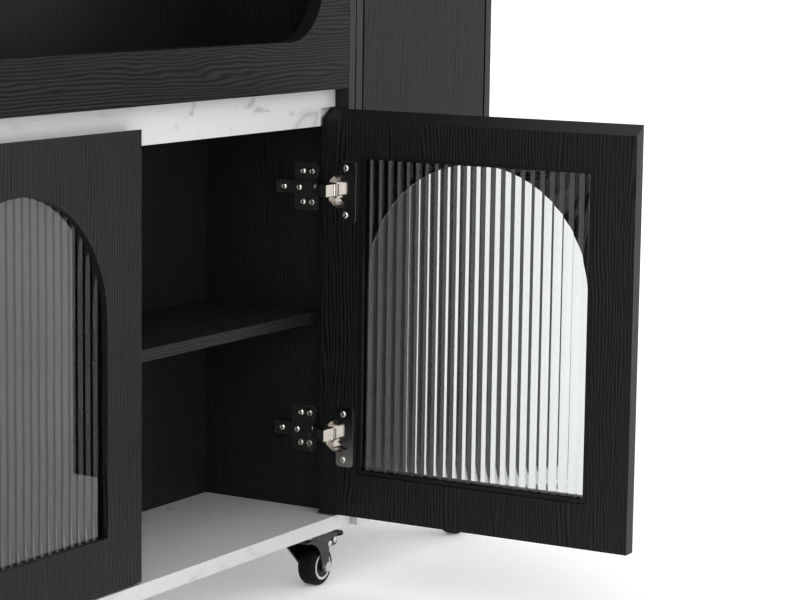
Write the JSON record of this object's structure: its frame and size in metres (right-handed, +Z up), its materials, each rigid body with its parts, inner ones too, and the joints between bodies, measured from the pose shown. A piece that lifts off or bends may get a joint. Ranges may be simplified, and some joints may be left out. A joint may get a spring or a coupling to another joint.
{
  "type": "rolling kitchen island",
  "caption": "Rolling kitchen island with arched fluted-glass doors, an open niche above them, a tall side cupboard and open rear shelves on swivel casters.",
  "frame": {"origin": "on the floor, under the middle of the whole box with the right glass door open", "axes": "+X to the right seen from the front, +Y to the back, +Z up"},
  "size_m": [1.0536, 0.747, 0.8858],
  "materials": {
    "base_board": "satin",
    "left_wall": "satin",
    "right_wall": "satin",
    "partition": "satin",
    "front_rail": "satin",
    "niche_floor": "satin",
    "face_panel": "satin",
    "worktop": "satin",
    "front_shelf": "satin",
    "rear_shelf_lower": "satin",
    "rear_shelf_upper": "satin",
    "end_inner_wall": "satin",
    "end_outer_wall": "satin",
    "end_base": "satin",
    "end_back": "satin",
    "end_shelf": "satin",
    "shelf_pins": "satin",
    "connector_bolts": "satin",
    "hinge_plates": "satin",
    "hinge_arms": "satin",
    "hinge_pins": "satin",
    "hinge_screws": "satin",
    "caster_plates": "satin",
    "caster_screws": "satin",
    "right_door_frame": "satin",
    "right_door_glass": "gloss",
    "right_door_glass_bead": "matte",
    "right_door_hinge_cups": "satin",
    "right_door_cup_screws": "satin",
    "left_door_frame": "satin",
    "left_door_glass": "gloss",
    "left_door_glass_bead": "matte",
    "left_door_hinge_cups": "satin",
    "left_door_cup_screws": "satin",
    "end_door_board": "satin",
    "end_door_hinge_cups": "satin",
    "end_door_cup_screws": "satin",
    "caster_front_left_fork": "satin",
    "caster_front_left_axle": "satin",
    "caster_front_left_hub": "satin",
    "caster_front_left_tyre": "matte",
    "caster_front_left_brake_pedal": "matte",
    "caster_front_middle_fork": "satin",
    "caster_front_middle_axle": "satin",
    "caster_front_middle_hub": "satin",
    "caster_front_middle_tyre": "matte",
    "caster_front_middle_brake_pedal": "matte",
    "caster_front_right_fork": "satin",
    "caster_front_right_axle": "satin",
    "caster_front_right_hub": "satin",
    "caster_front_right_tyre": "matte",
    "caster_front_right_brake_pedal": "matte",
    "caster_rear_left_fork": "satin",
    "caster_rear_left_axle": "satin",
    "caster_rear_left_hub": "satin",
    "caster_rear_left_tyre": "matte",
    "caster_rear_right_fork": "satin",
    "caster_rear_right_axle": "satin",
    "caster_rear_right_hub": "satin",
    "caster_rear_right_tyre": "matte"
  },
  "bodies": {
    "cabinet": {"base_board": "base_board", "left_wall": "left_wall", "right_wall": "right_wall", "partition": "partition", "front_rail": "front_rail", "niche_floor": "niche_floor", "face_panel": "face_panel", "worktop": "worktop", "front_shelf": "front_shelf", "rear_shelf_lower": "rear_shelf_lower", "rear_shelf_upper": "rear_shelf_upper", "end_inner_wall": "end_inner_wall", "end_outer_wall": "end_outer_wall", "end_base": "end_base", "end_back": "end_back", "end_shelf": "end_shelf", "shelf_pins": "shelf_pins", "connector_bolts": "connector_bolts", "hinge_plates": "hinge_plates", "hinge_arms": "hinge_arms", "hinge_pins": "hinge_pins", "hinge_screws": "hinge_screws", "caster_plates": "caster_plates", "caster_screws": "caster_screws"},
    "right_door": {"right_door_frame": "right_door_frame", "right_door_glass": "right_door_glass", "right_door_glass_bead": "right_door_glass_bead", "right_door_hinge_cups": "right_door_hinge_cups", "right_door_cup_screws": "right_door_cup_screws"},
    "left_door": {"left_door_frame": "left_door_frame", "left_door_glass": "left_door_glass", "left_door_glass_bead": "left_door_glass_bead", "left_door_hinge_cups": "left_door_hinge_cups", "left_door_cup_screws": "left_door_cup_screws"},
    "end_door": {"end_door_board": "end_door_board", "end_door_hinge_cups": "end_door_hinge_cups", "end_door_cup_screws": "end_door_cup_screws"},
    "caster_front_left": {"caster_front_left_fork": "caster_front_left_fork", "caster_front_left_axle": "caster_front_left_axle"},
    "caster_front_left_wheel": {"caster_front_left_hub": "caster_front_left_hub", "caster_front_left_tyre": "caster_front_left_tyre"},
    "caster_front_left_pedal": {"caster_front_left_brake_pedal": "caster_front_left_brake_pedal"},
    "caster_front_middle": {"caster_front_middle_fork": "caster_front_middle_fork", "caster_front_middle_axle": "caster_front_middle_axle"},
    "caster_front_middle_wheel": {"caster_front_middle_hub": "caster_front_middle_hub", "caster_front_middle_tyre": "caster_front_middle_tyre"},
    "caster_front_middle_pedal": {"caster_front_middle_brake_pedal": "caster_front_middle_brake_pedal"},
    "caster_front_right": {"caster_front_right_fork": "caster_front_right_fork", "caster_front_right_axle": "caster_front_right_axle"},
    "caster_front_right_wheel": {"caster_front_right_hub": "caster_front_right_hub", "caster_front_right_tyre": "caster_front_right_tyre"},
    "caster_front_right_pedal": {"caster_front_right_brake_pedal": "caster_front_right_brake_pedal"},
    "caster_rear_left": {"caster_rear_left_fork": "caster_rear_left_fork", "caster_rear_left_axle": "caster_rear_left_axle"},
    "caster_rear_left_wheel": {"caster_rear_left_hub": "caster_rear_left_hub", "caster_rear_left_tyre": "caster_rear_left_tyre"},
    "caster_rear_right": {"caster_rear_right_fork": "caster_rear_right_fork", "caster_rear_right_axle": "caster_rear_right_axle"},
    "caster_rear_right_wheel": {"caster_rear_right_hub": "caster_rear_right_hub", "caster_rear_right_tyre": "caster_rear_right_tyre"}
  },
  "joints": [
    {"name": "right_door_swing", "type": "hinge", "parent": "cabinet", "child": "right_door", "pos_m": [0.19625, -0.03396, 0.2873], "axis": [0, 0, 1], "range_deg": [-91.3, 13.7]},
    {"name": "left_door_swing", "type": "hinge", "parent": "cabinet", "child": "left_door", "pos_m": [-0.48575, -0.03396, 0.2873], "axis": [0, 0, -1], "range_deg": [0, 105]},
    {"name": "end_door_swing", "type": "hinge", "parent": "cabinet", "child": "end_door", "pos_m": [0.48575, -0.03396, 0.4713], "axis": [0, 0, 1], "range_deg": [0, 105]},
    {"name": "caster_front_left_swivel", "type": "hinge", "parent": "cabinet", "child": "caster_front_left", "pos_m": [-0.45975, -0.01996, 0.05], "axis": [0, 0, 1], "continuous": true},
    {"name": "caster_front_left_wheel_roll", "type": "hinge", "parent": "caster_front_left", "child": "caster_front_left_wheel", "pos_m": [-0.44175, -0.01996, 0.021], "axis": [0, 1, 0], "continuous": true},
    {"name": "caster_front_left_pedal_tip", "type": "hinge", "parent": "caster_front_left", "child": "caster_front_left_pedal", "pos_m": [-0.43075, -0.01996, 0.048], "axis": [0, 1, 0], "range_deg": [0, 12]},
    {"name": "caster_front_middle_swivel", "type": "hinge", "parent": "cabinet", "child": "caster_front_middle", "pos_m": [0.17025, -0.01996, 0.05], "axis": [0, 0, 1], "continuous": true},
    {"name": "caster_front_middle_wheel_roll", "type": "hinge", "parent": "caster_front_middle", "child": "caster_front_middle_wheel", "pos_m": [0.18825, -0.01996, 0.021], "axis": [0, 1, 0], "continuous": true},
    {"name": "caster_front_middle_pedal_tip", "type": "hinge", "parent": "caster_front_middle", "child": "caster_front_middle_pedal", "pos_m": [0.19925, -0.01996, 0.048], "axis": [0, 1, 0], "range_deg": [0, 12]},
    {"name": "caster_front_right_swivel", "type": "hinge", "parent": "cabinet", "child": "caster_front_right", "pos_m": [0.45275, -0.02756, 0.05], "axis": [0, 0, 1], "continuous": true},
    {"name": "caster_front_right_wheel_roll", "type": "hinge", "parent": "caster_front_right", "child": "caster_front_right_wheel", "pos_m": [0.47075, -0.02756, 0.021], "axis": [0, 1, 0], "continuous": true},
    {"name": "caster_front_right_pedal_tip", "type": "hinge", "parent": "caster_front_right", "child": "caster_front_right_pedal", "pos_m": [0.48175, -0.02756, 0.048], "axis": [0, 1, 0], "range_deg": [0, 12]},
    {"name": "caster_rear_left_swivel", "type": "hinge", "parent": "cabinet", "child": "caster_rear_left", "pos_m": [-0.45975, 0.33704, 0.05], "axis": [0, 0, 1], "continuous": true},
    {"name": "caster_rear_left_wheel_roll", "type": "hinge", "parent": "caster_rear_left", "child": "caster_rear_left_wheel", "pos_m": [-0.44175, 0.33704, 0.021], "axis": [0, 1, 0], "continuous": true},
    {"name": "caster_rear_right_swivel", "type": "hinge", "parent": "cabinet", "child": "caster_rear_right", "pos_m": [0.45275, 0.33704, 0.05], "axis": [0, 0, 1], "continuous": true},
    {"name": "caster_rear_right_wheel_roll", "type": "hinge", "parent": "caster_rear_right", "child": "caster_rear_right_wheel", "pos_m": [0.47075, 0.33704, 0.021], "axis": [0, 1, 0], "continuous": true}
  ]
}
